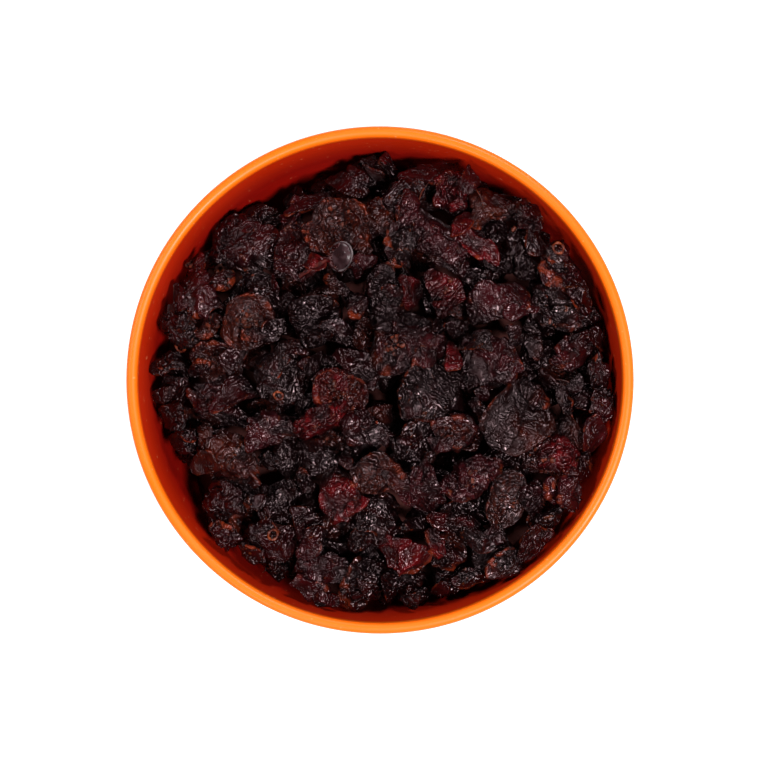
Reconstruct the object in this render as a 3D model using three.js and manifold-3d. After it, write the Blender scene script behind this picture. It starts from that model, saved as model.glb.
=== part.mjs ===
// A round orange plastic bowl, heaped with dried cranberries. Millimetres, +Z up.
// The origin is the centre of the bowl's foot ring, on the surface that the bowl stands on.
// +Y is the far side of the heap and +X its right side, as seen from straight above.
import * as THREE from "three";
import { mergeVertices } from "three/addons/utils/BufferGeometryUtils.js";
import Module from "manifold-3d";

// ---------------------------------------------------------------- driving dimensions

const BOWL_HEIGHT = 50;
const RIM_RADIUS = 60; // outside of the lip
const LIP_WIDTH = 2.6;
const LIP_CROWN = 1.1; // how far the rounded top of the lip stands above its sides
const LIP_DEPTH = 3.4; // height of the lip's bead on the outside of the wall
const LIP_PROUD = 0.5; // how far that bead stands out from the wall
const WALL = 2.2;
const FLOOR_THICKNESS = 2.4;
const FLOOR_RADIUS = 25; // flat part of the inside
const FOOT_HEIGHT = 1.2;
const FOOT_RADIUS = 27.5;
const FOOT_WIDTH = 3;
const WALL_SWEEP = THREE.MathUtils.degToRad(82); // the wall's arc, which ends nearly upright
const FOOT_SWEEP = THREE.MathUtils.degToRad(7); // where on that arc the outside leaves the foot

const BOWL_SIDES = 60;
const WALL_STEPS = 7;
const LIP_STEPS = 4;

const INNER_RIM_RADIUS = RIM_RADIUS - LIP_WIDTH;
const FLOOR_Z = FOOT_HEIGHT + FLOOR_THICKNESS;
const LIP_Z = BOWL_HEIGHT - LIP_CROWN; // where the lip's rounding starts

// The heap's upper surface: a low crown, off centre, that falls towards the wall and
// dips where the fruit stands clear of it.
const CROWN = { x: 4, y: -3, z: 56 };
const EDGE_FALL = 13.5; // from the crown to the wall
const DIPS = [
  { x: -24, y: 47, depth: 13, radius: 11 },
  { x: -50, y: -25, depth: 7, radius: 7 },
  { x: 22, y: -51, depth: 5, radius: 6 },
  { x: 51, y: -19, depth: 5, radius: 5 },
  { x: 8, y: 56, depth: 5, radius: 8 },
];
const CORE_COVER = 7; // depth of fruit over the bare core
const CORE_SHOULDER_Z = 33; // where the core's top starts at the wall
const CORE_SIDE_STEPS = 4;
const CORE_TOP_STEPS = 5;
const CORE_SIDES = 24;
const WALL_GAP = 0.5; // between the fruit and the bowl
const NUDGE = 0.05; // how much further a piece is moved than its reach into the wall

const SEED = 41;
const BED_COUNT = 14; // pieces under the ones that were placed by eye
const GAP_COUNT = 18; // small pieces that fill the hollows between those
const BED_LENGTH = [9, 13];
const GAP_LENGTH = [5.5, 9];
const SPOTS_TRIED = 28; // random places of which a piece takes the lowest
const SINK = 0.3; // share of its thickness by which a soft piece beds into the ones below
const ROOT = 1.9; // how much deeper its underside is than its top, which joins it to them
const FACET_SPREAD = 1.15; // a ball of flat sides is made this much wider than the round one
const NARROWEST = 0.62; // width of a loose piece over its length
const WIDEST = 0.95;
const LOOSE_TILT = 0.35; // most that a piece leans of itself, as a slope
const SHOWN_TILT = 0.15;
const SLOPE_FOLLOWED = 0.7; // how far a piece leans with the fruit that it lies on
const STEEPEST = 0.8;
const MOVES = 10; // times that a piece may be moved in from the wall

// Thickness of a piece over its width, by kind.
const THICKNESS = { round: 0.5, long: 0.62, half: 0.46, flap: 0.4 };
const KINDS = Object.keys(THICKNESS);

// The pieces that show best, placed by eye from the lowest to the highest:
// kind, x, y, length, width, turn in degrees.
const SHOWN = [
  ["round", -29, 39, 10, 8, 0],
  ["flap", -19, 45.5, 9, 6, 20],
  ["long", -45, -26, 9, 6, 30],
  ["round", 51, 16, 9, 8, 70],
  ["round", 17, -48, 10, 9, 0],
  ["flap", 50, -5, 11, 7, -20],
  ["long", -30, 23, 13, 6, -30],
  ["flap", 12, 50.5, 15, 8, 5],
  ["flap", -3, 52, 9, 6, 0],
  ["round", 28, 37, 9.5, 8, 80],
  ["round", 34, 33.5, 9, 7, 75],
  ["round", 5, 44, 10, 9, 40],
  ["long", -14, 26, 13, 6, 25],
  ["flap", 39, -17, 15, 9, -15],
  ["round", -24, -27, 9, 8, 60],
  ["round", 51, -12, 10, 8.5, -50],
  ["half", 47, 1, 13, 9, -20],
  ["round", -41, -17, 13, 11, 10],
  ["flap", -18, -36, 10, 9, 30],
  ["round", -1, -34, 12.5, 11, 80],
  ["half", 13, -13, 15, 10, -5],
  ["half", 30, -28, 14, 9, 80],
  ["round", 41, -35.5, 10, 7, 40],
  ["round", -48, 12, 10, 9, -70],
  ["half", -43.5, 21.5, 13, 11, -30],
  ["round", -33, 34, 16, 12.5, -30],
  ["half", -38.5, 5, 12, 9.5, -20],
  ["half", -31, 14.5, 12, 11.5, 90],
  ["flap", -15, 15.5, 12, 10, -40],
  ["round", -23, 1, 13.5, 12.5, 60],
  ["long", -20, 31, 12, 7.5, -60],
  ["flap", -9, 46.8, 11.5, 6.5, -5],
  ["half", -10, 36, 15.5, 13, -25],
  ["round", 17, 45.5, 10.5, 8.5, 65],
  ["long", 30, 43.5, 16, 8, -30],
  ["long", 14, 32.5, 19, 9, -52],
  ["long", 23, 33, 12.5, 6.5, -60],
  ["long", 46, 26, 13, 9, -65],
  ["round", 42.5, 17, 14, 9.5, -25],
  ["half", 28, 18, 13, 11, 60],
  ["flap", 15, 21.5, 11, 8, -55],
  ["round", 46, 8.5, 12, 8, 15],
  ["round", 25, 3, 15, 12, -25],
  ["half", 12, -2.5, 14, 12.5, 20],
  ["half", 4.5, 10, 17, 15.5, 60],
  ["round", -39.5, -7, 15, 10, -40],
  ["round", -25, -11.5, 12, 9, -10],
  ["round", -14, -12, 12.5, 9, 20],
  ["long", -3, -12.5, 13, 7.5, -25],
  ["half", -1, -21.5, 15.5, 11.5, -15],
  ["round", -10.5, -27, 12.5, 9.5, -65],
  ["round", -40, -33.5, 13, 11.5, 10],
  ["round", -27, -39, 11, 9.5, -60],
  ["long", -13, -45, 14.5, 9, -30],
  ["round", -5.5, -49.5, 12, 9, 60],
  ["half", 33, -10.5, 16, 13, 40],
  ["round", 10.5, -26, 12, 8.5, -45],
  ["long", 21.5, -24.5, 13.5, 8.5, 25],
  ["round", 44, -27.5, 10, 9.5, 0],
  ["long", 18, -35, 16, 6.5, -20],
  ["round", 7, -41, 12.5, 9.5, 15],
  ["round", 28, -41.5, 14, 12, 80],
];

// ---------------------------------------------------------------- the bowl

// Inside radius of the wall at a height: a quarter ellipse from the floor's edge to the lip.
function wallRadius(z) {
  const share = THREE.MathUtils.clamp((z - FLOOR_Z) / (LIP_Z - FLOOR_Z), 0, 1);
  const cosine = 1 - share * (1 - Math.cos(WALL_SWEEP));
  const reach = Math.sqrt(1 - cosine * cosine) / Math.sin(WALL_SWEEP);
  return FLOOR_RADIUS + (INNER_RIM_RADIUS - FLOOR_RADIUS) * reach;
}

// Point of the inner wall at an angle along its arc, moved outwards by an offset.
function wallPoint(angle, offset = 0) {
  const across = (INNER_RIM_RADIUS - FLOOR_RADIUS) / Math.sin(WALL_SWEEP);
  const up = (LIP_Z - FLOOR_Z) / (1 - Math.cos(WALL_SWEEP));
  const tangent = new THREE.Vector2(across * Math.cos(angle), up * Math.sin(angle)).normalize();
  return new THREE.Vector2(
    FLOOR_RADIUS + across * Math.sin(angle) + offset * tangent.y,
    FLOOR_Z + up * (1 - Math.cos(angle)) - offset * tangent.x,
  );
}

function wallArc(from, to, offset) {
  return Array.from({ length: WALL_STEPS + 1 }, (_, i) =>
    wallPoint(THREE.MathUtils.lerp(from, to, i / WALL_STEPS), offset),
  );
}

function bowlProfile() {
  const footInside = FOOT_RADIUS - FOOT_WIDTH;
  const beadZ = LIP_Z - LIP_DEPTH;
  const foot = [
    new THREE.Vector2(0, FOOT_HEIGHT),
    new THREE.Vector2(footInside - FOOT_HEIGHT / 2, FOOT_HEIGHT),
    new THREE.Vector2(footInside, 0),
    new THREE.Vector2(FOOT_RADIUS, 0),
  ];
  // The outside starts a little way up the arc, where it leaves the foot ring.
  const outside = wallArc(FOOT_SWEEP, WALL_SWEEP, WALL).filter((p) => p.y < beadZ);
  const bead = [
    new THREE.Vector2(RIM_RADIUS - LIP_PROUD, beadZ),
    new THREE.Vector2(RIM_RADIUS, beadZ + LIP_PROUD),
  ];
  const lip = Array.from({ length: LIP_STEPS + 1 }, (_, i) => {
    const turn = (Math.PI * i) / LIP_STEPS;
    return new THREE.Vector2(
      RIM_RADIUS - LIP_WIDTH / 2 + (LIP_WIDTH / 2) * Math.cos(turn),
      LIP_Z + LIP_CROWN * Math.sin(turn),
    );
  });
  const inside = wallArc(WALL_SWEEP, 0, 0).slice(1);
  return [...foot, ...outside, ...bead, ...lip, ...inside, new THREE.Vector2(0, FLOOR_Z)];
}

// LatheGeometry turns its profile about Y, so a solid is stood up on Z.
function lathe(profile, sides) {
  return new THREE.LatheGeometry(profile, sides).rotateX(Math.PI / 2);
}

// ---------------------------------------------------------------- where the fruit lies

// A small generator, so that the heap is the same each time.
function makeRandom(seed) {
  let state = seed;
  return () => {
    state = (Math.imul(state, 1664525) + 1013904223) >>> 0;
    return state / 4294967296;
  };
}

function heapHeight(x, y) {
  const out = Math.hypot(x - CROWN.x, y - CROWN.y) / INNER_RIM_RADIUS;
  const dips = DIPS.map(
    (d) => d.depth * Math.exp(-((x - d.x) ** 2 + (y - d.y) ** 2) / d.radius ** 2),
  );
  return CROWN.z - EDGE_FALL * out * out - dips.reduce((a, b) => a + b, 0);
}

// A piece is an ellipsoid of its length, width and thickness, leaning by its two slopes.
function pieceTop(piece, x, y) {
  const dx = x - piece.x;
  const dy = y - piece.y;
  const u = (dx * piece.cos + dy * piece.sin) / (piece.length / 2);
  const v = (dy * piece.cos - dx * piece.sin) / (piece.width / 2);
  const inside = 1 - u * u - v * v;
  if (inside <= 0) return -Infinity;
  return piece.z + piece.slopeX * dx + piece.slopeY * dy + (piece.thickness / 2) * Math.sqrt(inside);
}

function surfaceHeight(pieces, x, y) {
  return pieces.reduce(
    (top, piece) => Math.max(top, pieceTop(piece, x, y)),
    heapHeight(x, y) - CORE_COVER,
  );
}

// Places inside a piece's outline, as shares of its half length and half width.
const FOOTPRINT = [[0, 0]];
for (const [reach, count] of [
  [0.45, 6],
  [0.85, 8],
]) {
  for (let i = 0; i < count; i++) {
    const turn = (2 * Math.PI * i) / count;
    FOOTPRINT.push([reach * Math.cos(turn), reach * Math.sin(turn)]);
  }
}

function footprintOf(piece) {
  return FOOTPRINT.map(([u, v]) => {
    const along = (u * piece.length) / 2;
    const across = (v * piece.width) / 2;
    return {
      dx: along * piece.cos - across * piece.sin,
      dy: along * piece.sin + across * piece.cos,
      under: (piece.thickness / 2) * Math.sqrt(1 - u * u - v * v),
    };
  });
}

// Lays a piece on the ones below it: it leans with them and comes down until it beds in.
function settle(piece, pieces) {
  const spots = footprintOf(piece);
  const heights = spots.map((s) => surfaceHeight(pieces, piece.x + s.dx, piece.y + s.dy));
  const mean = heights.reduce((a, b) => a + b, 0) / heights.length;
  const lean = (key) => {
    const rise = spots.reduce((sum, s, i) => sum + s[key] * (heights[i] - mean), 0);
    const run = spots.reduce((sum, s) => sum + s[key] * s[key], 0);
    return (SLOPE_FOLLOWED * rise) / run;
  };
  const limit = (slope) => THREE.MathUtils.clamp(slope, -STEEPEST, STEEPEST);
  piece.slopeX = limit(lean("dx") + piece.tiltX);
  piece.slopeY = limit(lean("dy") + piece.tiltY);
  const touching = spots.map(
    (s, i) => heights[i] - piece.slopeX * s.dx - piece.slopeY * s.dy + s.under,
  );
  piece.z = Math.max(...touching) - SINK * piece.thickness;
  return piece;
}

function pieceMatrix(piece) {
  const { cos, sin, slopeX, slopeY } = piece;
  const up = new THREE.Vector3(-slopeX, -slopeY, 1).normalize();
  const along = new THREE.Vector3(cos, sin, slopeX * cos + slopeY * sin).normalize();
  const across = new THREE.Vector3().crossVectors(up, along);
  return new THREE.Matrix4()
    .makeBasis(along, across, up)
    .scale(new THREE.Vector3(piece.length / 2, piece.width / 2, piece.thickness / 2))
    .setPosition(piece.x, piece.y, piece.z);
}

// A ball point as it is in the heap: wider, and deep below.
function bedded(p) {
  return p.set(FACET_SPREAD * p.x, FACET_SPREAD * p.y, p.z < 0 ? ROOT * p.z : p.z);
}

// Directions spread evenly over a ball, at which a piece is tested against the wall.
const BALL_POINTS = 60;
const BALL = Array.from({ length: BALL_POINTS }, (_, i) => {
  const z = 1 - (2 * i + 1) / BALL_POINTS;
  const turn = i * Math.PI * (3 - Math.sqrt(5));
  const ring = Math.sqrt(1 - z * z);
  return new THREE.Vector3(ring * Math.cos(turn), ring * Math.sin(turn), z);
});

function reachIntoWall(piece) {
  const matrix = pieceMatrix(piece);
  const reaches = BALL.map((direction) => {
    const p = bedded(direction.clone()).applyMatrix4(matrix);
    return Math.hypot(p.x, p.y) - wallRadius(p.z) + WALL_GAP;
  });
  return Math.max(...reaches);
}

// Settles a piece, moving it inwards for as long as it would cross the wall.
function place(piece, pieces) {
  settle(piece, pieces);
  for (let move = 0; move < MOVES; move++) {
    const reach = reachIntoWall(piece);
    if (reach <= 0) break;
    const share = 1 - (reach + NUDGE) / Math.hypot(piece.x, piece.y);
    piece.x *= share;
    piece.y *= share;
    settle(piece, pieces);
  }
  return piece;
}

function makePiece(kind, x, y, length, width, turn, tiltX, tiltY) {
  const thickness = width * THICKNESS[kind];
  return { kind, x, y, length, width, thickness, cos: Math.cos(turn), sin: Math.sin(turn), tiltX, tiltY };
}

// A piece of random kind, size and turn, at the lowest of a few random places.
function dropPiece(random, pieces, shortest, longest) {
  const length = shortest + (longest - shortest) * random();
  const width = length * (NARROWEST + (WIDEST - NARROWEST) * random());
  const kind = KINDS[Math.floor(KINDS.length * random())];
  const turn = 2 * Math.PI * random();
  const tiltX = LOOSE_TILT * (2 * random() - 1);
  const tiltY = LOOSE_TILT * (2 * random() - 1);
  let best = null;
  for (let i = 0; i < SPOTS_TRIED; i++) {
    const out = (INNER_RIM_RADIUS - width / 2) * Math.sqrt(random());
    const round = 2 * Math.PI * random();
    const x = out * Math.cos(round);
    const y = out * Math.sin(round);
    const piece = place(makePiece(kind, x, y, length, width, turn, tiltX, tiltY), pieces);
    piece.standing = piece.z + piece.thickness / 2 - heapHeight(piece.x, piece.y);
    if (!best || piece.standing < best.standing) best = piece;
  }
  return best;
}

function layHeap() {
  const random = makeRandom(SEED);
  const pieces = [];
  for (let i = 0; i < BED_COUNT; i++) pieces.push(dropPiece(random, pieces, ...BED_LENGTH));
  for (const [kind, x, y, length, width, turn] of SHOWN) {
    const tiltX = SHOWN_TILT * (2 * random() - 1);
    const tiltY = SHOWN_TILT * (2 * random() - 1);
    const angle = THREE.MathUtils.degToRad(turn);
    const piece = makePiece(kind, x, y, length, width, angle, tiltX, tiltY);
    piece.shown = true;
    pieces.push(place(piece, pieces));
  }
  for (let i = 0; i < GAP_COUNT; i++) pieces.push(dropPiece(random, pieces, ...GAP_LENGTH));
  return pieces;
}

// ---------------------------------------------------------------- the shapes of the fruit

// Each form bends a unit ball in place and stays inside it.
const FORMS = {
  // A whole berry: dimpled on top, with a few broad creases down its sides.
  round(p, phase) {
    const around = Math.atan2(p.y, p.x);
    const crease = 1 - 0.1 * (1 + Math.sin(5 * around + phase));
    const dimple = 1 - 0.4 * Math.exp(-(p.x * p.x + p.y * p.y) / 0.16);
    p.set(p.x * crease, p.y * crease, p.z * dimple);
  },
  // A raisin-like berry, creased along its length and a little bent.
  long(p, phase) {
    const around = Math.atan2(p.z, p.y);
    const crease = 1 - 0.11 * (1 + Math.sin(4 * around + phase));
    p.set(p.x, p.y * crease * (1 - 0.25 * p.x * p.x), p.z * crease - 0.15 * (1 - p.x * p.x));
  },
  // A cut half, hollow side up, with a thick rim.
  half(p, phase) {
    const out = Math.hypot(p.x, p.y);
    const around = Math.atan2(p.y, p.x);
    const rim = 0.78 + 0.12 * Math.sin(3 * around + phase);
    if (p.z > 0) p.z = rim * Math.min(1, 2.2 * p.z) - 1.05 * Math.exp(-(out * out) / 0.3);
    p.multiplyScalar(0.97);
  },
  // A folded skin: thin, bent along its length, with a wavy edge.
  flap(p, phase) {
    const bend = 0.36 - 0.75 * p.x * p.x + 0.3 * Math.sin(2.5 * p.y + phase) * p.x;
    const edge = 0.92 + 0.08 * Math.sin(4 * p.x + phase);
    p.set(p.x, p.y * edge, THREE.MathUtils.clamp(0.34 * p.z + bend, -0.95, 0.95));
  },
};

function bentBall(geometry, form, phase) {
  const places = geometry.getAttribute("position");
  const p = new THREE.Vector3();
  for (let i = 0; i < places.count; i++) {
    p.fromBufferAttribute(places, i);
    FORMS[form](p, phase);
    bedded(p);
    places.setXYZ(i, p.x, p.y, p.z);
  }
  return geometry;
}

// Even steps from 0 to 1.
function shares(steps) {
  return Array.from({ length: steps + 1 }, (_, i) => i / steps);
}

// The bare core. Its side follows the bowl's inside up to a shoulder, and its top lies under
// the heap's surface, which also pulls the side down where the heap dips.
function coreGeometry() {
  const side = shares(CORE_SIDE_STEPS).map((share) => {
    const z = THREE.MathUtils.lerp(FLOOR_Z + WALL_GAP, CORE_SHOULDER_Z, share);
    return new THREE.Vector2(wallRadius(z - WALL_GAP) - WALL_GAP, z);
  });
  const shoulder = side[CORE_SIDE_STEPS].x;
  const top = shares(CORE_TOP_STEPS).slice(1).map((share) => {
    return new THREE.Vector2(shoulder * (1 - share), CORE_SHOULDER_Z);
  });
  const profile = [new THREE.Vector2(0, side[0].y), ...side, ...top];
  const geometry = lathe(profile, CORE_SIDES);
  const places = geometry.getAttribute("position");
  for (let i = 0; i < places.count; i++) {
    const onTop = i % profile.length > side.length;
    const x = places.getX(i);
    const y = places.getY(i);
    const cover = heapHeight(x, y) - CORE_COVER;
    const z = onTop ? cover : Math.min(places.getZ(i), cover);
    const room = wallRadius(z - WALL_GAP) - WALL_GAP;
    const squeeze = Math.min(1, room / Math.max(Math.hypot(x, y), room / 2));
    places.setXYZ(i, x * squeeze, y * squeeze, z);
  }
  return geometry;
}

// ---------------------------------------------------------------- joining the heap

const wasm = await Module();
wasm.setup();

function toSolid(geometry) {
  geometry.deleteAttribute("normal");
  geometry.deleteAttribute("uv");
  const merged = mergeVertices(geometry, 1e-4);
  const mesh = new wasm.Mesh({
    numProp: 3,
    vertProperties: merged.attributes.position.array,
    triVerts: new Uint32Array(merged.index.array),
  });
  return new wasm.Manifold(mesh);
}

function toGeometry(solid) {
  const mesh = solid.getMesh();
  return new THREE.BufferGeometry()
    .setAttribute("position", new THREE.BufferAttribute(new Float32Array(mesh.vertProperties), 3))
    .setIndex(new THREE.BufferAttribute(new Uint32Array(mesh.triVerts), 1));
}

// One solid: the core with every piece fused on. Its largest body is kept, which drops any
// loose scrap and fills any hollow that the pieces seal.
function heapGeometry() {
  let heap = toSolid(coreGeometry());
  layHeap().forEach((piece, i) => {
    const ball = piece.shown ? new THREE.SphereGeometry(1, 8, 5) : new THREE.SphereGeometry(1, 6, 4);
    const berry = bentBall(ball, piece.kind, i).applyMatrix4(pieceMatrix(piece));
    heap = heap.add(toSolid(berry));
  });
  const bodies = heap.decompose();
  return toGeometry(bodies.reduce((a, b) => (b.volume() > a.volume() ? b : a)));
}

// ---------------------------------------------------------------- the part

const ORANGE_PLASTIC = new THREE.MeshStandardMaterial({ color: 0xf97b12, roughness: 0.32, metalness: 0 });
const CRANBERRY_SKIN = new THREE.MeshStandardMaterial({ color: 0x2e1012, roughness: 0.45, metalness: 0 });

const bowl = new THREE.Mesh(lathe(bowlProfile(), BOWL_SIDES), ORANGE_PLASTIC);
bowl.name = "bowl";

const cranberries = new THREE.Mesh(heapGeometry(), CRANBERRY_SKIN);
cranberries.name = "cranberries";

const filledBowl = new THREE.Group();
filledBowl.add(bowl, cranberries);

export default filledBowl;
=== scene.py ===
"""A round orange plastic bowl, heaped with dried cranberries.

Sizes are in millimetres unless a name says otherwise, and a mesh is scaled to metres when it
is made. +Z is up, +Y the far side of the heap and +X its right side, seen from straight above.
"""

import math

import bmesh
import bpy
import numpy as np
from mathutils import Matrix, Vector


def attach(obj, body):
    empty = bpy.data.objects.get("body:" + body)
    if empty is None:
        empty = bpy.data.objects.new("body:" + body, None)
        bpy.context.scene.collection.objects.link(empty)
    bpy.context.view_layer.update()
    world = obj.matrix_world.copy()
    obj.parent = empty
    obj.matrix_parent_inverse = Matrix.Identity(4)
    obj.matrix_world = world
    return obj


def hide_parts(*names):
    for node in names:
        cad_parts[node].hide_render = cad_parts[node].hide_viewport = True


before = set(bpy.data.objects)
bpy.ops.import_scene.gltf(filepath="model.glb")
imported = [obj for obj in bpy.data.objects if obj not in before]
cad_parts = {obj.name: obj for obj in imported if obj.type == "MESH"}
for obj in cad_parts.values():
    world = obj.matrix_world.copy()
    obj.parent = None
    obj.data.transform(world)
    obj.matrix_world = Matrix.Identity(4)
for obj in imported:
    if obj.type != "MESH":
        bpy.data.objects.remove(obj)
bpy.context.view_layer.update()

METRES = 0.001

# ---------- sizes of the bowl

BOWL_HEIGHT = 50.0
RIM_RADIUS = 60.0
LIP_WIDTH = 2.6
LIP_CROWN = 1.1
LIP_DEPTH = 3.4
LIP_PROUD = 0.5
WALL = 2.2
FLOOR_THICKNESS = 2.4
FLOOR_RADIUS = 25.0
FOOT_HEIGHT = 1.2
FOOT_RADIUS = 27.5
FOOT_WIDTH = 3.0
WALL_SWEEP = math.radians(82)
FOOT_SWEEP = math.radians(7)

INNER_RIM_RADIUS = RIM_RADIUS - LIP_WIDTH
FLOOR_Z = FOOT_HEIGHT + FLOOR_THICKNESS
LIP_Z = BOWL_HEIGHT - LIP_CROWN
WALL_ACROSS = (INNER_RIM_RADIUS - FLOOR_RADIUS) / math.sin(WALL_SWEEP)  # half axes of its ellipse
WALL_UP = (LIP_Z - FLOOR_Z) / (1 - math.cos(WALL_SWEEP))

# ---------- sizes of the heap

CROWN = (4.0, -3.0, 56.0)
EDGE_FALL = 13.5
DIPS = (
    # x, y, depth, radius
    (-24, 47, 13, 11),
    (-50, -25, 7, 7),
    (22, -51, 5, 6),
    (51, -19, 5, 5),
    (8, 56, 5, 8),
)
CORE_SHOULDER_Z = 33.0
WALL_GAP = 0.5
NUDGE = 0.05  # how much further than needed a piece moves inwards from the wall
MOVES = 10

# How far a layer's top may stand over the heap's, and the share of it that beds in below.
LAYERS = {
    "bed": (-4.6, 0.3),
    "shown": (0.0, 0.3),
    "wall": (3.0, 0.0),
    "gap": (-2.8, 0.3),
    "lobe": (-0.4, 0.6),
    "scrap": (-1.3, 0.45),
}
SLOPE_FOLLOWED = 0.7  # how much a piece leans with what it lies on
STEEPEST = 0.8
GROWTH = 1.17  # the placed pieces are this much larger than they look, for they overlap
SHOWN_TILT = 0.15

KINDS = ("round", "long", "half", "flap")
THICKNESS = {"round": 0.5, "long": 0.62, "half": 0.46, "flap": 0.4}  # as a share of the width
THIN_KINDS = ("flap", "flap", "long")

SEED = 41
BED_COUNT = 190
BED_COVER = 13.0  # how deep under the heap's top the bed starts
GAP_COUNT = 14
SCRAP_COUNT = 36
SPOTS_TRIED = 28
# Loose fruit: its length, its width as a share of that, its kinds and how much it tilts.
BED = ((9.0, 13.0), (0.62, 0.95), KINDS, 0.35)
GAP = ((6.0, 9.5), (0.62, 0.95), KINDS, 0.35)
SCRAP = ((5.5, 10.0), (0.45, 0.8), THIN_KINDS, 1.0)

# A lobe is a fold of skin, and its sizes are shares of its owner's.
LOBE_SEED = 5
LOBE_REACH = (0.45, 0.85)  # where it sits on the way to its owner's edge
LOBE_LENGTH = (0.45, 0.75)
LOBE_WIDTH = (0.4, 0.75)
LOBE_TILT = 0.5

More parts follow.
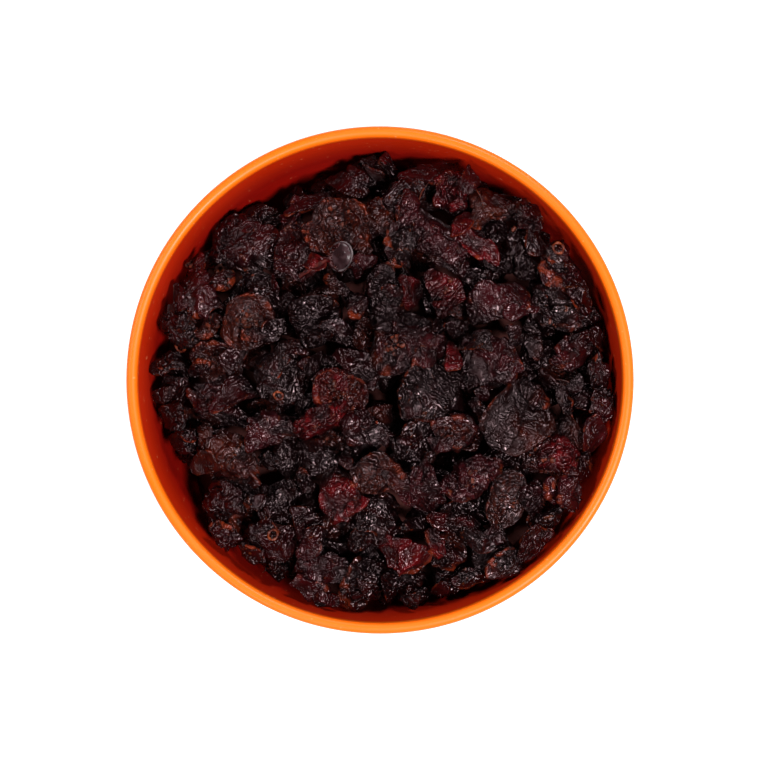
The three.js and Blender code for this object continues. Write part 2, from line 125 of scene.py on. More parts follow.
# The fruit that shows best, placed from the lowest to the highest:
# kind and tone, x, y, length, width, turn in degrees.
SHOWN = (
    ("flap plum", -3, 52, 9, 6, 0),
    ("flap mauve", 12.5, 50.5, 15, 7, 5),
    ("flap mauve", 22.5, 50, 7, 5, 80),
    ("flap black", -15, 48.5, 6, 4, 80),
    ("flap black", -20.5, 45, 7, 5, 30),
    ("round black", -29, 38.5, 10, 8, 0),
    ("round black", 51, 16, 9, 7, 80),
    ("flap plum", -50, -4, 11, 8, 80),
    ("round black", -47.5, -14.5, 6.5, 6, 0),
    ("round brown", -46.5, 27.5, 5.5, 4.5, 0),
    ("round plum", -42.5, 30, 7, 6, 40),
    ("round black", -29, -42, 7, 5, 10),
    ("round black", -24.5, -46, 6.5, 5, 40),
    ("round black", 17.5, -48, 9.5, 8.5, 0),
    ("round plum", 9, -51.5, 5.5, 4.5, 0),
    ("flap plum", 51, -11.5, 11, 8.5, 70),
    ("round ruby", 48.5, -21.5, 8.5, 8, 0),
    ("round black", 41.5, -36, 9.5, 8, 45),
    ("long mauve", 35.5, -38.5, 8.5, 4.5, 80),
    ("round black", 27, 37.5, 9.5, 7.5, 80),
    ("round plum", 34, 33, 9, 8, 75),
    ("flap plum", 40.5, 36, 8.5, 8, 20),
    ("round black", 5.5, 44, 9, 7.5, 40),
    ("flap plum", 50, -4.5, 8.5, 6.5, -20),
    ("round black", 24, 24, 9, 7, 20),
    ("round black", 38, 6, 9, 7.5, 0),
    ("flap grey", -29, 22.5, 13, 7, -30),
    ("round black", -24, -28.5, 11, 8.5, 75),
    ("round black", -31, -27, 9.5, 8, 0),
    ("flap plum", -15, -18.5, 9, 8, 0),
    ("long grey", 1.5, 21, 14, 8.5, 80),
    ("flap ruby", -5, 3.5, 12, 7, -35),
    ("half ruby", -9.5, -3, 12.5, 10, -15),
    ("long brown", -40.5, 13, 7, 4.5, 40),
    ("round black", -26.5, -19, 6.5, 5.5, 0),
    ("round black", 9.5, -14, 10.5, 10, 0),
    ("half mauve", 17.5, -12.5, 10.5, 8.5, 0),
    ("round black", 19.5, -30, 7, 5.5, 0),
    ("half grey", 30, -28, 13.5, 9.5, 80),
    ("round mauve", 36.5, -28, 8.5, 7, 80),
    ("flap brown", 45, -12.5, 9.5, 5.5, -60),
    ("round brown", 33, 12.5, 6, 5.5, 0),
    ("round grey", 36.5, 26.5, 8.5, 5.5, -10),
    ("round black", -0.5, -33.5, 13.5, 12.5, 80),
    ("flap plum", -18, -34.5, 11, 7, -40),
    ("half mauve", -39, 4.5, 12.5, 10, -20),
    ("round mauve", -38.5, -6.5, 15.5, 10, -35),
    ("round grey", -47.5, 12.5, 10.5, 9.5, -70),
    ("round mauve", -43, 20.5, 14, 11.5, -30),
    ("round mauve", -33, 33, 16.5, 14, -30),
    ("half brown", -31.2, 14, 12.5, 12, 90),
    ("flap grey", -14.8, 14.5, 13, 11.5, -50),
    ("round grey", -23, 1.5, 14, 13, 60),
    ("flap mauve", -21, 31, 11.5, 9, 95),
    ("round mauve", -20.5, 38, 7, 6, 0),
    ("flap mauve", -17, 42.5, 12.5, 5, 20),
    ("flap mauve", -8.5, 47, 12, 6.5, -5),
    ("round brown", -1, 39, 9.5, 8.5, 80),
    ("half brown", -9, 35, 15.5, 15, -25),
    ("long ruby", -16, 26.3, 10, 3, 30),
    ("round mauve", -3.8, 28, 6, 5, 20),
    ("half mauve", -9.3, 29.5, 7, 5.5, 80),
    ("round grey", 4.5, 32.5, 10.5, 7.5, 80),
    ("long mauve", 13.5, 33.5, 20, 9.5, -48),
    ("long ruby", 22.5, 33, 13.5, 7, -60),
    ("round ruby", 17, 45, 9, 8.5, 65),
    ("long brown", 31, 44.5, 16, 8, -20),
    ("flap ruby", 15, 21.5, 10.5, 8, -60),
    ("flap mauve", 28, 18, 13, 12.5, 60),
    ("round grey", 42, 17, 14, 10, -20),
    ("round mauve", 45.5, 26.5, 13.5, 10.5, -65),
    ("round mauve", 47, 7.5, 13, 8, 20),
    ("round brown", 18.5, 12.5, 5.5, 5, 0),
    ("round mauve", 25, 3.5, 15, 14, -25),
    ("round mauve", 5, 8.5, 17, 15.5, 60),
    ("flap grey", 12, -2, 15.5, 15, 20),
    ("round mauve", -25, -11.5, 12.5, 7, -10),
    ("long ruby", -14, -10, 13, 8, 10),
    ("long plum", -3, -12.5, 12, 7.5, -25),
    ("half brown", 0, -22, 13, 9.5, -15),
    ("round ruby", -9.7, -26.5, 13, 9.8, -65),
    ("round brown", -36, -19, 18, 12.5, -20),
    ("round plum", -39, -33, 13, 11, 10),
    ("round plum", -26, -38.5, 10.5, 9.5, -60),
    ("long mauve", -13.5, -44.5, 14.5, 9.5, -30),
    ("long mauve", -16, -50, 11.5, 5.5, -35),
    ("round black", -5, -50, 12.5, 10.5, 60),
    ("round mauve", 5.5, -47.5, 7.5, 7, 0),
    ("round plum", 16, -42.5, 8.5, 6, 0),
    ("long ruby", 19, -34.5, 15.5, 5.5, -25),
    ("round ruby", 7, -41, 13, 10, 10),
    ("round grey", 28, -42, 14, 12, 80),
    ("round mauve", 44, -26.5, 10, 9.5, 0),
    ("long ruby", 40, -18, 15.5, 10, -25),
    ("flap brown", 33, -10, 16, 15, 50),
    ("flap mauve", 10.5, -26, 11, 10, -50),
    ("long mauve", 21.5, -23.5, 14.5, 8.5, 25),
)

# Fruit that is laid last of what shows: it leans on the wall or fills a hole.
AT_WALL = (
    ("round black", 54, 2, 10.5, 8, 90),
    ("round plum", 53.5, -6, 10, 8, 85),
    ("flap mauve", 53, -13.5, 12, 9, 75),
    ("round plum", 51.5, -21, 9.5, 8, 65),
    ("round mauve", 48.5, -28, 11, 9.5, 60),
    ("round black", 44.5, -35.5, 9.5, 8, 50),
    ("flap plum", 39, -41.5, 11, 8.5, 48),
    ("round grey", 31.5, -46.5, 11, 9, 35),
    ("round black", 22.5, -51.5, 9.5, 8, 25),
    ("flap mauve", 23.5, 52, 8, 6, 70),
    ("round plum", 38.5, 42.5, 10.5, 8, -45),
    ("round black", 47.5, 33, 9.5, 7.5, -60),
    ("round plum", 53, 22, 9.5, 7, -70),
    ("round plum", -39.5, -39, 9.5, 7.5, -45),
    ("flap black", -33, -45, 9, 7, -35),
    ("round black", -37.2, 23.8, 7, 5.5, 20),
)

# Each tone's skin colour (linear), and its roughness on a ridge.
TONES = {
    "black": (0.0022, 0.0007, 0.0009),
    "grey": (0.0044, 0.0020, 0.0021),
    "plum": (0.0080, 0.0006, 0.0009),
    "mauve": (0.0205, 0.0019, 0.0028),
    "ruby": (0.0680, 0.0021, 0.0031),
    "brown": (0.0225, 0.0029, 0.0014),
}
SHINE = {"black": 0.11, "grey": 0.19, "plum": 0.12, "mauve": 0.16, "ruby": 0.13, "brown": 0.24}
LOOSE_TONES = ("black", "plum", "black", "plum", "grey", "black", "ruby", "brown")

# ---------- small helpers


def between(limits, share):
    return limits[0] + (limits[1] - limits[0]) * share


def within(value, limit):
    return min(max(value, -limit), limit)


def heading(angle):
    return math.cos(angle), math.sin(angle)


def turned(u, v, cosine, sine):
    """Steps along and across a direction, as steps along x and y."""
    return u * cosine - v * sine, u * sine + v * cosine


def circle(count):
    """Even angles once around."""
    return 2 * np.pi * np.arange(count) / count


def spiral(z):
    """Points of the unit ball along a spiral, one at each height."""
    around = np.arange(len(z)) * math.pi * (3 - math.sqrt(5))
    ring = np.sqrt(1 - z * z)
    return np.stack([ring * np.cos(around), ring * np.sin(around), z], axis=1)


def soft_step(value, low, high):
    share = np.clip((value - low) / (high - low), 0, 1)
    return share * share * (3 - 2 * share)


# ---------- the bowl's outline


def wall_radius(z):
    """Inside radius of the wall at a height: a quarter ellipse from the floor to the lip."""
    cosine = 1 - np.clip((z - FLOOR_Z) / WALL_UP, 0, 1 - math.cos(WALL_SWEEP))
    return FLOOR_RADIUS + WALL_ACROSS * np.sqrt(1 - cosine * cosine)


def wall_arc(start, end, offset):
    """Points of the inner wall along its arc, moved outwards by an offset."""
    points = []
    for angle in np.linspace(start, end, WALL_STEPS + 1):
        tangent = np.array([WALL_ACROSS * math.cos(angle), WALL_UP * math.sin(angle)])
        tangent /= np.linalg.norm(tangent)
        radius = FLOOR_RADIUS + WALL_ACROSS * math.sin(angle) + offset * tangent[1]
        height = FLOOR_Z + WALL_UP * (1 - math.cos(angle)) - offset * tangent[0]
        points.append((radius, height))
    return points


# ---------- where the fruit lies

DRAW_FACTOR = 1664525
DRAW_STEP = 1013904223
DRAW_RANGE = 2**32
FOOTPRINT = [(0.0, 0.0)]  # places under a piece where it is held up, as shares of its half size
for ring_reach, ring_count in ((0.45, 6), (0.85, 8)):
    for t in circle(ring_count):
        FOOTPRINT.append((ring_reach * math.cos(t), ring_reach * math.sin(t)))
FOOTPRINT = np.array(FOOTPRINT)
UNDERSIDE = np.sqrt(1 - (FOOTPRINT**2).sum(axis=1))
BALL_POINTS = 60
BALL = spiral(1 - (2 * np.arange(BALL_POINTS) + 1) / BALL_POINTS)


def random_numbers(seed):
    """The same small generator as the heap's solid uses."""
    state = seed
    while True:
        state = (state * DRAW_FACTOR + DRAW_STEP) % DRAW_RANGE
        yield state / DRAW_RANGE


def random_tilts(draw, most):
    return [most * (2 * next(draw) - 1) for _ in range(2)]


def heap_height(x, y):
    """Height of the heap's surface: a low crown that falls to the wall, with a few dips."""
    out = np.hypot(x - CROWN[0], y - CROWN[1]) / INNER_RIM_RADIUS
    height = CROWN[2] - EDGE_FALL * out * out
    for dip_x, dip_y, depth, radius in DIPS:
        height = height - depth * np.exp(-((x - dip_x) ** 2 + (y - dip_y) ** 2) / radius**2)
    return height


class Piece:
    """One piece of fruit: its sizes, its heading as a cosine and a sine, and its lean."""

    def __init__(self, layer, kind, x, y, length, width, turn, tone, tilts):
        self.layer, self.kind, self.tone, self.tilts = layer, kind, tone, tilts
        self.x, self.y = x, y
        self.length, self.width = length, width
        self.thickness = width * THICKNESS[kind]
        self.cos, self.sin = math.cos(turn), math.sin(turn)

    def half_sizes(self):
        return np.array([self.length, self.width, self.thickness]) / 2

    def axes(self):
        """Its own three directions, as columns: along, across and up."""
        up = np.array([-self.slope_x, -self.slope_y, 1.0])
        along = np.array([self.cos, self.sin, self.slope_x * self.cos + self.slope_y * self.sin])
        up /= np.linalg.norm(up)
        along /= np.linalg.norm(along)
        return np.stack([along, np.cross(up, along), up], axis=1)

    def settle(self, surface):
        """Lays it on the pieces below: it leans with them and comes down until it beds in."""
        along, across, under = self.half_sizes()
        dx, dy = turned(FOOTPRINT[:, 0] * along, FOOTPRINT[:, 1] * across, self.cos, self.sin)
        heights = surface.top[surface.cell(self.x + dx), surface.cell(self.y + dy)]
        rise = heights - heights.mean()
        self.slope_x, self.slope_y = [
            within(SLOPE_FOLLOWED * (step * rise).sum() / (step * step).sum() + tilt, STEEPEST)
            for step, tilt in zip((dx, dy), self.tilts)
        ]
        over, bedded = LAYERS[self.layer]
        touching = heights - self.slope_x * dx - self.slope_y * dy + under * UNDERSIDE
        self.free = touching.max() - bedded * self.thickness
        self.z = min(self.free, heap_height(self.x, self.y) + over - under)

    def place(self, surface):
        """Settles it, moving it inwards for as long as it would cross the wall."""
        self.settle(surface)
        for _ in range(MOVES):
            x, y, z = ((BALL * self.half_sizes()) @ self.axes().T + (self.x, self.y, self.z)).T
            reach = (np.hypot(x, y) - wall_radius(z)).max() + WALL_GAP
            if reach <= 0:
                break
            share = 1 - (reach + NUDGE) / math.hypot(self.x, self.y)
            self.x *= share
            self.y *= share
            self.settle(surface)


class Surface:
    """The top of what has been laid so far, as heights on a square grid."""

    STEP = 0.5
    HALF = 60.0

    def __init__(self):
        line = np.arange(-self.HALF, self.HALF + self.STEP, self.STEP)
        self.x, self.y = np.meshgrid(line, line, indexing="ij")
        self.top = heap_height(self.x, self.y) - BED_COVER
        self.owner = np.full(self.top.shape, -1)

    def cell(self, value):
        return np.clip(np.rint((value + self.HALF) / self.STEP).astype(int), 0, len(self.top) - 1)

    def add(self, piece, number):
        along, across, under = piece.half_sizes()
        i0, i1 = self.cell(np.array([piece.x - along, piece.x + along]))
        j0, j1 = self.cell(np.array([piece.y - along, piece.y + along]))
        window = (slice(i0, i1 + 1), slice(j0, j1 + 1))
        dx, dy = self.x[window] - piece.x, self.y[window] - piece.y
        u, v = turned(dx, dy, piece.cos, -piece.sin)
        inside = 1 - (u / along) ** 2 - (v / across) ** 2
        lift = under * np.sqrt(np.clip(inside, 0, None))
        top = piece.z + piece.slope_x * dx + piece.slope_y * dy + lift
        higher = (inside > 0) & (top > self.top[window])
        self.top[window][higher] = top[higher]
        self.owner[window][higher] = number


def draw_shape(draw, lengths, widths, kinds, tilt):
    """A random length, width, kind, turn and tilt."""
    length = between(lengths, next(draw))
    width = length * between(widths, next(draw))
    kind = kinds[int(len(kinds) * next(draw))]
    turn = 2 * math.pi * next(draw)
    return length, width, kind, turn, random_tilts(draw, tilt)


def drop_piece(layer, draw, surface, shape):
    """A random piece at the lowest of a few random places."""
    length, width, kind, turn, tilts = draw_shape(draw, *shape)
    tone = LOOSE_TONES[int(len(LOOSE_TONES) * turn / (2 * math.pi))]
    tried = []
    for _ in range(SPOTS_TRIED):
        out = (INNER_RIM_RADIUS - width / 2) * math.sqrt(next(draw))
        around = 2 * math.pi * next(draw)
        x, y = out * math.cos(around), out * math.sin(around)
        piece = Piece(layer, kind, x, y, length, width, turn, tone, tilts)
        piece.place(surface)
        piece.standing = piece.free + piece.thickness / 2 - heap_height(piece.x, piece.y)
        tried.append(piece)
    return min(tried, key=lambda piece: piece.standing)


def drop_lobe(owner, number, draw, surface):
    """A fold of skin that stands out of a piece that shows, or nothing where it is covered."""
    around = 2 * math.pi * next(draw)
    out = between(LOBE_REACH, next(draw)) / 2
    u, v = out * owner.length * math.cos(around), out * owner.width * math.sin(around)
    dx, dy = turned(u, v, owner.cos, owner.sin)
    x, y = owner.x + dx, owner.y + dy
    lengths = [owner.length * share for share in LOBE_LENGTH]
    length, width, kind, turn, tilts = draw_shape(draw, lengths, LOBE_WIDTH, THIN_KINDS, LOBE_TILT)
    if surface.owner[surface.cell(x), surface.cell(y)] != number:
        return None
    lobe = Piece("lobe", kind, x, y, length, width, turn, owner.tone, tilts)
    lobe.place(surface)
    return lobe


def lay_heap():
    """All the fruit of the heap, from the lowest to the highest."""
    draw = random_numbers(SEED)
    surface = Surface()
    pieces = []

    def lay(piece):
        surface.add(piece, len(pieces))
        pieces.append(piece)

    def lay_named(layer, row, growth, tilts):
        looks, x, y, length, width, turn = row
        kind, tone = looks.split()
        sizes = (length * growth, width * growth)
        piece = Piece(layer, kind, x, y, *sizes, math.radians(turn), tone, tilts)
        piece.place(surface)
        lay(piece)

    for _ in range(BED_COUNT):
        lay(drop_piece("bed", draw, surface, BED))
    for row in SHOWN:
        lay_named("shown", row, GROWTH, random_tilts(draw, SHOWN_TILT))
    for row in AT_WALL:
        lay_named("wall", row, 1, (0, 0))
    for _ in range(GAP_COUNT):
        piece = drop_piece("gap", draw, surface, GAP)
        if piece.standing <= LAYERS["gap"][0]:
            lay(piece)
    draw = random_numbers(LOBE_SEED)
    for number, owner in list(enumerate(pieces)):
        lobe = drop_lobe(owner, number, draw, surface) if owner.layer == "shown" else None
        if lobe:
            lay(lobe)
    for _ in range(SCRAP_COUNT):
        lay(drop_piece("scrap", draw, surface, SCRAP))
    for number, piece in enumerate(pieces):
        piece.seen = (surface.owner == number).sum()
        piece.odd = number + 1
    return pieces


# ---------- making meshes


# The kind of an attribute and its field, by how many numbers a value has.
ATTRIBUTES = {1: ("FLOAT", "value"), 3: ("FLOAT_VECTOR", "vector"), 4: ("FLOAT_COLOR", "color")}


def mesh_object(name, points, faces, smooth=True):
    """A mesh object at the origin, from points in millimetres."""
    mesh = bpy.data.meshes.new(name)
    mesh.from_pydata((np.asarray(points) * METRES).tolist(), [], faces)
    if smooth:
        mesh.shade_smooth()
    return new_object(name, mesh)


def new_object(name, data):
    thing = bpy.data.objects.new(name, data)
    bpy.context.scene.collection.objects.link(thing)
    return thing


def lathe(name, profile, sides):
    """Turns a profile of (radius, height) about Z. It starts and ends on the axis."""
    rings = profile[1:-1]
    points = [(0, 0, profile[0][1]), (0, 0, profile[-1][1])]
    for radius, height in rings:
        points += [(radius * math.cos(t), radius * math.sin(t), height) for t in circle(sides)]
    faces = []
    last = 2 + (len(rings) - 1) * sides
    for i in range(sides):
        j = (i + 1) % sides
        faces.append((0, 2 + j, 2 + i))
        faces.append((1, last + i, last + j))
        for low in range(2, last, sides):
            faces.append((low + i, low + j, low + sides + j, low + sides + i))
    return mesh_object(name, points, faces)


def set_attribute(mesh, name, values):
    """Stores one number, vector or colour for each vertex, for node trees to read by name."""
    values = np.asarray(values, dtype=float).reshape(len(values), -1)
    kind, field = ATTRIBUTES[values.shape[1]]
    mesh.attributes.new(name, kind, "POINT").data.foreach_set(field, values.ravel())


class Nodes:
    """Adds nodes to a tree: an input is given a value, or the socket that feeds it."""

    def __init__(self, tree):
        self.tree = tree

    def add(self, kind, inputs=None, **settings):
        node = self.tree.nodes.new(kind)
        for name, value in settings.items():
            setattr(node, name, value)
        for key, value in (inputs or {}).items():
            if isinstance(value, bpy.types.NodeSocket):
                self.tree.links.new(value, node.inputs[key])
            else:
                node.inputs[key].default_value = value
        return node

    def out(self, kind, inputs=None, **settings):
        """Adds a node and gives its first socket in use."""
        node = self.add(kind, inputs, **settings)
        return next(socket for socket in node.outputs if socket.enabled)

    def math(self, operation, *values, clamp=False):
        return self.out("ShaderNodeMath", dict(enumerate(values)), operation=operation, use_clamp=clamp)

    def times(self, a, b, clamp=False):
        return self.math("MULTIPLY", a, b, clamp=clamp)

    def ridges(self, turns, power):
        """Ridges with sharp valleys between them, one to each whole turn."""
        sine = self.math("SINE", self.times(turns, math.pi))
        return self.math("POWER", self.math("ABSOLUTE", sine), power)

    def vector(self, operation, *values, scale=None):
        inputs = dict(enumerate(values))
        if scale is not None:
            inputs["Scale"] = scale
        return self.out("ShaderNodeVectorMath", inputs, operation=operation)

    def mix(self, share, a, b):
        return self.out("ShaderNodeMix", {0: share, 2: a, 3: b}, data_type="FLOAT")

    def blend(self, share, a, b, how="MIX"):
        """Mixes two colours."""
        return self.out("ShaderNodeMix", {0: share, 6: a, 7: b}, data_type="RGBA", blend_type=how)

    def spread(self, value, low, high, to_low=0.0, to_high=1.0):
        """Maps a value's range onto another with soft ends."""
        inputs = {0: value, 1: low, 2: high, 3: to_low, 4: to_high}
        return self.out("ShaderNodeMapRange", inputs, interpolation_type="SMOOTHSTEP")

    def noise(self, place, scale, detail, roughness=0.5, own=None, output="Fac"):
        """A noise in space. Each fruit has its own where a number of its own is given."""
        inputs = {"Vector": place, "Scale": scale, "Detail": detail, "Roughness": roughness}
        if own is not None:
            inputs["W"] = own
        size = "3D" if own is None else "4D"
        return self.add("ShaderNodeTexNoise", inputs, noise_dimensions=size).outputs[output]

    def bump(self, strength, depth, height):
        inputs = {"Strength": strength, "Distance": depth * METRES, "Height": height}
        return self.out("ShaderNodeBump", inputs)


# ---------- the forms of the fruit

FORM_SEED = 7
VARIANTS = 6
GRADES = {"fine": 4300, "middle": 2100, "plain": 640}  # points on a form
FINE_LENGTH = 12.0
MIDDLE_LENGTH = 7.5
CROWDING = 0.6  # points crowd towards the top of a form, which is the side that shows
FORM_SHRINK = 0.93  # leaves room for the folds that are raised on a form


def ball_mesh(count):
    """A ball of points along a spiral from the top to the bottom."""
    share = (np.arange(count) + 0.5) / count
    points = spiral(1 - 2 * share * (CROWDING + (1 - CROWDING) * share * share))
    build = bmesh.new()
    for point in points:
        build.verts.new(point)
    build.verts.index_update()
    bmesh.ops.convex_hull(build, input=build.verts)
    bmesh.ops.recalc_face_normals(build, faces=build.faces)
    faces = [tuple(v.index for v in f.verts) for f in build.faces]
    build.free()
    return points, faces


def sway(value, rng):
    """A wave with a random start."""
    return np.sin(value + rng.uniform(0, 6))


def random_direction(rng, upright=1.0):
    direction = rng.normal(size=3) * (1, 1, upright)
    return direction / np.linalg.norm(direction)


def cut_flat(ball, rng, count, depths, sharpness, upright=1.0):
    """Cuts flats off a ball with blunt corners between them, like fruit that has shrunk."""
    total = np.ones(len(ball))
    for _ in range(count):
        facing = np.clip(ball @ random_direction(rng, upright), 0, None)
        total += (facing / rng.uniform(*depths)) ** sharpness
    return ball * (total ** (-1 / sharpness))[:, None]


def sink(ball, rng, count, widths, depths):
    """Soft hollows pressed into a form."""
    push = np.zeros(len(ball))
    for _ in range(count):
        edge = math.cos(rng.uniform(*widths))
        push = np.maximum(push, soft_step(ball @ random_direction(rng), edge, 1) * rng.uniform(*depths))
    return push


def creases(ball, rng, count, width, depths):
    """Narrow creases, each along a bent ring round a form."""
    push = np.zeros(len(ball))
    for _ in range(count):
        normal, bend = random_direction(rng), random_direction(rng)
        height = ball @ normal - rng.uniform(-0.5, 0.5) + 0.2 * np.sin(4 * (ball @ bend))
        fade = 0.5 + 0.5 * sway(2 * (ball @ bend), rng)
        push = np.maximum(push, rng.uniform(*depths) * fade * np.exp(-((height / width) ** 2)))
    return push


def soften(points, rng, amount):
    """Bends a form softly in a few directions, so that its outline isn't even."""
    for _ in range(4):
        along, sideways = random_direction(rng), random_direction(rng)
        shift = amount * sway(rng.uniform(1.5, 3.5) * (points @ along), rng)
        points = points + shift[:, None] * sideways
    return points


def polar(points):
    """Distance from the axis and angle round it."""
    return np.hypot(points[:, 0], points[:, 1]), np.arctan2(points[:, 1], points[:, 0])


def rim_streak(ball, rng):
    """Where one side of a form's outline shows its dry, paler edge."""
    out, around = polar(ball)
    side = soft_step(np.cos(around - rng.uniform(0, 6)), 0.0, 0.8)
    return side * soft_step(out, 0.86, 0.97)


def round_form(ball, rng):
    points = cut_flat(ball, rng, 7, (0.55, 0.9), 14)
    points = cut_flat(points, rng, 4, (0.6, 0.85), 12, upright=0.2)
    push = sink(ball, rng, 3, (0.5, 0.9), (0.15, 0.4)) + creases(ball, rng, 5, 0.07, (0.12, 0.32))
    points = soften(points * (1 - push)[:, None], rng, 0.12)
    return points, np.zeros(len(ball)), rim_streak(ball, rng)


def long_form(ball, rng):
    points = cut_flat(ball, rng, 8, (0.55, 0.9), 14)
    around = np.arctan2(ball[:, 2], ball[:, 1])
    crease = np.abs(np.sin(1.5 * around + rng.uniform(0, 6) + 0.9 * np.sin(2 * ball[:, 0])))
    points[:, 1:] *= (0.78 + 0.22 * crease**0.7)[:, None]
    points = points * (1 - creases(ball, rng, 4, 0.08, (0.12, 0.3)))[:, None]
    points[:, 1] += 0.16 * sway(2.2 * points[:, 0], rng)
    return soften(points, rng, 0.08), np.zeros(len(ball)), rim_streak(ball, rng)


def half_form(ball, rng):
    """A cut half, hollow side up, with a thick uneven rim."""
    out, around = polar(ball)
    wave = sway(2 * around, rng) + 0.6 * sway(5 * around, rng)
    points = cut_flat(ball, rng, 7, (0.65, 0.92), 12, upright=0.2)
    above = ball[:, 2] > 0
    hollow = rng.uniform(0.6, 0.95) * np.exp(-((out / rng.uniform(0.5, 0.65)) ** 3))
    top = (0.75 + 0.12 * wave) * np.minimum(1, 2.6 * ball[:, 2]) - hollow
    points[:, 2] = np.where(above, top, points[:, 2])
    flesh = np.where(above, np.clip(1.3 - out * 1.2, 0, 1), 0)
    edge = np.where(above, np.exp(-(((out - 0.86) / 0.09) ** 2)), 0)
    points = points * (1 - creases(ball, rng, 4, 0.06, (0.08, 0.25)))[:, None]
    return soften(points, rng, 0.07), flesh, edge


def flap_form(ball, rng):
    """A folded skin: thin, bent and twisted, with an angular edge that curls up."""
    flat = cut_flat(ball * (1, 1, 0.02), rng, 8, (0.5, 0.95), 26, upright=0.0)
    x, y = flat[:, 0], flat[:, 1]
    out, around = polar(flat)
    bend = rng.uniform(-0.8, 0.8) * x * x + rng.uniform(-0.5, 0.5) * y * y
    twist = rng.uniform(-0.5, 0.5) * x * y + 0.1 * sway(5 * x, rng)
    curl = rng.uniform(0.2, 0.7) * soft_step(np.cos(around - rng.uniform(0, 6)), 0.3, 1) * out**4
    z = np.tanh(0.24 * ball[:, 2] + bend + twist + curl)
    edge = soft_step(polar(ball)[0], 0.88, 1)
    return soften(np.stack([x, y, z], axis=1), rng, 0.06), np.zeros(len(ball)), edge


FORM_MAKERS = {"round": round_form, "long": long_form, "half": half_form, "flap": flap_form}


def make_forms(skin):
    """Each kind's variants in each grade, filling the unit ball, as a collection of its own."""
    collections = {}
    for grade, count in GRADES.items():
        ball, faces = ball_mesh(count)
        for kind in KINDS:
            group = bpy.data.collections.new(f"{kind}_{grade}")
            for variant in range(VARIANTS):
                rng = np.random.default_rng([FORM_SEED, KINDS.index(kind), variant])
                points, flesh, edge = FORM_MAKERS[kind](ball, rng)
                middle = (points.max(axis=0) + points.min(axis=0)) / 2
                points = (points - middle) / np.abs(points - middle).max(axis=0) * FORM_SHRINK
                mesh = bpy.data.meshes.new(f"{kind}_{grade}_{variant}")
                mesh.from_pydata(points.tolist(), [], faces)
                set_attribute(mesh, "place_on_form", points)
                set_attribute(mesh, "flesh", flesh)
                set_attribute(mesh, "edge", edge)
                mesh.materials.append(skin)
                group.objects.link(bpy.data.objects.new(mesh.name, mesh))
            collections[kind, grade] = group
    return collections


# ---------- laying and wrinkling

# Each kind's folds and wrinkles: spacing and depth in millimetres, and how far they wander.
RELIEF_INPUTS = ("Fold spacing", "Fold depth", "Wrinkle spacing", "Wrinkle depth", "Warp")
RELIEF = {
    "round": (5.4, 1.1, 1.4, 0.38, 6.0),
    "long": (5.4, 1.0, 1.4, 0.36, 5.0),
    "half": (4.2, 0.6, 1.3, 0.3, 5.0),
    "flap": (5.6, 0.55, 1.4, 0.3, 5.0),
}
WRINKLED = (1.0, 0.3, 0.75, 0.15, 1.0, 0.5, 0.85)  # how wrinkled a piece is, in turn
COARSE = (1.0, 1.5, 0.85, 1.2)  # times its wrinkles' spacing
RINGED = {"round": 1.0, "long": 0.0, "half": 1.0, "flap": 0.0}
PLEATED_EACH = 5  # one piece in so many has pleats that run out from a place on it
PLEATS = 3.0
GRAIN_TURN = 2.4
OWN_FOLDS = 7.31  # takes each fruit to a part of the noise of its own
OWN_SKIN = 3.17


